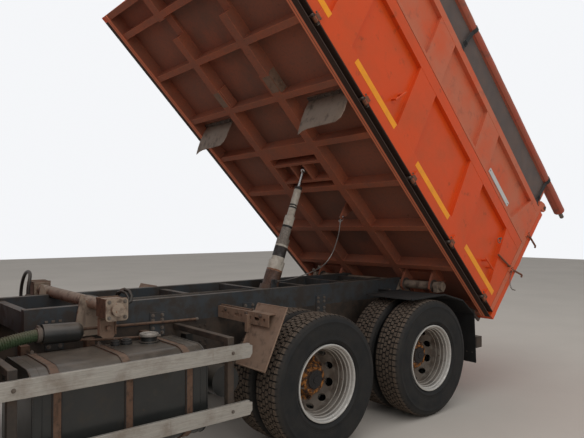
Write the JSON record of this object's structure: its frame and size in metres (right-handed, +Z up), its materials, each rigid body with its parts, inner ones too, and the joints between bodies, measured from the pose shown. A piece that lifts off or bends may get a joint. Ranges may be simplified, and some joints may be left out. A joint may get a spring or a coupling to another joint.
{
  "type": "dump truck",
  "caption": "Forward-control tipping lorry with its bed raised to the rear on a telescopic cylinder, drop sides, tilting cab and steered front wheels.",
  "frame": {"origin": "on the ground, at the middle of the whole length and width, with the bed raised as in the picture", "axes": "+X forward along the truck, +Y to its left, +Z up"},
  "size_m": [8.5932, 3, 5.1896],
  "materials": {
    "tyre_rubber": "dusty",
    "wheel_silver": "satin",
    "chassis_paint": "worn matt",
    "subframe_paint": "worn matt",
    "axle_cast": "dirty",
    "tank_paint": "satin",
    "strap_rust": "rusty",
    "guard_aluminium": "weathered",
    "plate_brown": "rusty",
    "guard_rubber": "dusty",
    "lamp_lens": "clear",
    "cab_orange": "gloss",
    "window_glass": "clear",
    "trim_black": "matt",
    "seat_cloth": "woven",
    "bed_orange": "gloss",
    "bed_faded": "faded",
    "bed_under": "dirty",
    "canvas": "coated",
    "flap_grey": "matt",
    "cylinder_paint": "dirty",
    "cylinder_base": "rusty",
    "rod_steel": "bright",
    "rope_steel": "weathered",
    "hose_green": "corrugated",
    "hose_black": "matt",
    "bumper_paint": "gloss"
  },
  "bodies": {
    "chassis": {"frame_rails": "chassis_paint", "subframe": "subframe_paint", "cross_tubes": "subframe_paint", "front_axle": "axle_cast", "drive_axles": "axle_cast", "bogie_springs": "axle_cast", "engine": "axle_cast", "fuel_tank": "tank_paint", "tank_straps": "strap_rust", "side_guards": "guard_aluminium", "air_tanks": "tank_paint", "battery_box": "tank_paint", "silencer": "strap_rust", "mud_plates": "plate_brown", "mudguards": "guard_rubber", "front_bumper": "bumper_paint", "lamps": "lamp_lens", "wire_rope": "rope_steel", "intake_hose": "hose_green", "oil_hose": "hose_black"},
    "knuckle_left": {"knuckle_left": "axle_cast"},
    "knuckle_right": {"knuckle_right": "axle_cast"},
    "track_rod": {"track_rod": "axle_cast"},
    "front_wheel_left": {"front_tyre_left": "tyre_rubber", "front_rim_left": "wheel_silver"},
    "front_wheel_right": {"front_tyre_right": "tyre_rubber", "front_rim_right": "wheel_silver"},
    "drive_wheel_left": {"drive_tyres_left": "tyre_rubber", "drive_rims_left": "wheel_silver"},
    "drive_wheel_right": {"drive_tyres_right": "tyre_rubber", "drive_rims_right": "wheel_silver"},
    "rear_wheel_left": {"rear_tyres_left": "tyre_rubber", "rear_rims_left": "wheel_silver"},
    "rear_wheel_right": {"rear_tyres_right": "tyre_rubber", "rear_rims_right": "wheel_silver"},
    "cab": {"cab_floor": "cab_orange", "cab_shell": "cab_orange", "cab_front": "cab_orange", "cab_glass": "window_glass", "dashboard": "trim_black", "seats": "seat_cloth", "mirrors": "trim_black"},
    "door_left": {"door_left": "cab_orange", "door_glass_left": "window_glass"},
    "door_right": {"door_right": "cab_orange", "door_glass_right": "window_glass"},
    "bed": {"bed_floor": "bed_under", "bed_front_wall": "bed_orange", "bed_extensions": "bed_faded", "tarp": "canvas", "bed_flaps": "flap_grey"},
    "side_board_left": {"side_board_left": "bed_orange"},
    "side_board_right": {"side_board_right": "bed_orange"},
    "tailgate": {"tailgate": "bed_orange"},
    "cylinder_barrel": {"cylinder_barrel": "cylinder_base"},
    "cylinder_stage_1": {"cylinder_stage_1": "cylinder_paint"},
    "cylinder_stage_2": {"cylinder_stage_2": "cylinder_paint"},
    "cylinder_stage_3": {"cylinder_stage_3": "cylinder_paint"},
    "cylinder_stage_4": {"cylinder_stage_4": "cylinder_paint"},
    "cylinder_rod": {"cylinder_rod": "rod_steel"}
  },
  "joints": [
    {"name": "bed_tip", "type": "hinge", "parent": "chassis", "child": "bed", "pos_m": [-2.11, 0, 1.12], "axis": [0, -1, 0], "range_deg": [-44.7, 5.3], "deforming": ["wire_rope", "oil_hose"]},
    {"name": "tailgate_swing", "type": "hinge", "parent": "bed", "child": "tailgate", "pos_m": [-3.69525, 0, 1.94997], "axis": [0, 1, 0], "range_deg": [0, 75]},
    {"name": "side_board_left_drop", "type": "hinge", "parent": "bed", "child": "side_board_left", "pos_m": [-1.1092, 1.262, 2.24402], "axis": [-0.7108, 0, -0.7034], "range_deg": [0, 175]},
    {"name": "side_board_right_drop", "type": "hinge", "parent": "bed", "child": "side_board_right", "pos_m": [-1.1092, -1.262, 2.24402], "axis": [0.7108, 0, 0.7034], "range_deg": [0, 175]},
    {"name": "cab_tilt", "type": "hinge", "parent": "chassis", "child": "cab", "pos_m": [4.045, 0, 0.9], "axis": [0, 1, 0], "range_deg": [0, 50]},
    {"name": "door_left_swing", "type": "hinge", "parent": "cab", "child": "door_left", "pos_m": [3.919, 1.256, 1.5], "axis": [0, 0, -1], "range_deg": [0, 65]},
    {"name": "door_right_swing", "type": "hinge", "parent": "cab", "child": "door_right", "pos_m": [3.919, -1.256, 1.5], "axis": [0, 0, 1], "range_deg": [0, 65]},
    {"name": "steer_left", "type": "hinge", "parent": "chassis", "child": "knuckle_left", "pos_m": [2.955, 0.85, 0.527], "axis": [0, 0, 1], "range_deg": [-35, 35]},
    {"name": "steer_right", "type": "hinge", "parent": "chassis", "child": "knuckle_right", "pos_m": [2.955, -0.85, 0.527], "axis": [0, 0, 1], "range_deg": [-35, 35]},
    {"name": "track_rod_turn", "type": "hinge", "parent": "knuckle_left", "child": "track_rod", "pos_m": [2.705, 0.85, 0.4], "axis": [0, 0, 1], "range_deg": [-35, 35]},
    {"name": "front_wheel_left_spin", "type": "hinge", "parent": "knuckle_left", "child": "front_wheel_left", "pos_m": [2.955, 1.021, 0.527], "axis": [0, 1, 0], "continuous": true},
    {"name": "front_wheel_right_spin", "type": "hinge", "parent": "knuckle_right", "child": "front_wheel_right", "pos_m": [2.955, -1.021, 0.527], "axis": [0, 1, 0], "continuous": true},
    {"name": "drive_wheel_left_spin", "type": "hinge", "parent": "chassis", "child": "drive_wheel_left", "pos_m": [-0.235, 0.947, 0.527], "axis": [0, 1, 0], "continuous": true},
    {"name": "drive_wheel_right_spin", "type": "hinge", "parent": "chassis", "child": "drive_wheel_right", "pos_m": [-0.235, -0.947, 0.527], "axis": [0, 1, 0], "continuous": true},
    {"name": "rear_wheel_left_spin", "type": "hinge", "parent": "chassis", "child": "rear_wheel_left", "pos_m": [-1.555, 0.947, 0.527], "axis": [0, 1, 0], "continuous": true},
    {"name": "rear_wheel_right_spin", "type": "hinge", "parent": "chassis", "child": "rear_wheel_right", "pos_m": [-1.555, -0.947, 0.527], "axis": [0, 1, 0], "continuous": true},
    {"name": "cylinder_swing", "type": "hinge", "parent": "chassis", "child": "cylinder_barrel", "pos_m": [-0.557, 0, 0.98], "axis": [0, -1, 0], "range_deg": [-28.14, 3.51]},
    {"name": "cylinder_stage_1_slide", "type": "slide", "parent": "cylinder_barrel", "child": "cylinder_stage_1", "axis": [-0.3548, 0, 0.9349], "range_m": [-0.244, 0.0307]},
    {"name": "cylinder_stage_2_slide", "type": "slide", "parent": "cylinder_stage_1", "child": "cylinder_stage_2", "axis": [-0.3548, 0, 0.9349], "range_m": [-0.231, 0.0292]},
    {"name": "cylinder_stage_3_slide", "type": "slide", "parent": "cylinder_stage_2", "child": "cylinder_stage_3", "axis": [-0.3548, 0, 0.9349], "range_m": [-0.236, 0.0297]},
    {"name": "cylinder_stage_4_slide", "type": "slide", "parent": "cylinder_stage_3", "child": "cylinder_stage_4", "axis": [-0.3548, 0, 0.9349], "range_m": [-0.318, 0.0395]},
    {"name": "cylinder_rod_slide", "type": "slide", "parent": "cylinder_stage_4", "child": "cylinder_rod", "axis": [-0.3548, 0, 0.9349], "range_m": [-0.1536, 0.02]}
  ],
  "couplings": [
    {"joint": "steer_right", "follows": "steer_left", "ratio": 1},
    {"joint": "track_rod_turn", "follows": "steer_left", "ratio": -1},
    {"joint": "cylinder_swing", "follows": "bed_tip", "ratio": 0.62495},
    {"joint": "cylinder_stage_1_slide", "follows": "bed_tip", "m_per_rad": 0.31019},
    {"joint": "cylinder_stage_2_slide", "follows": "bed_tip", "m_per_rad": 0.29353},
    {"joint": "cylinder_stage_3_slide", "follows": "bed_tip", "m_per_rad": 0.29994},
    {"joint": "cylinder_stage_4_slide", "follows": "bed_tip", "m_per_rad": 0.40504},
    {"joint": "cylinder_rod_slide", "follows": "bed_tip", "m_per_rad": 0.19438}
  ]
}
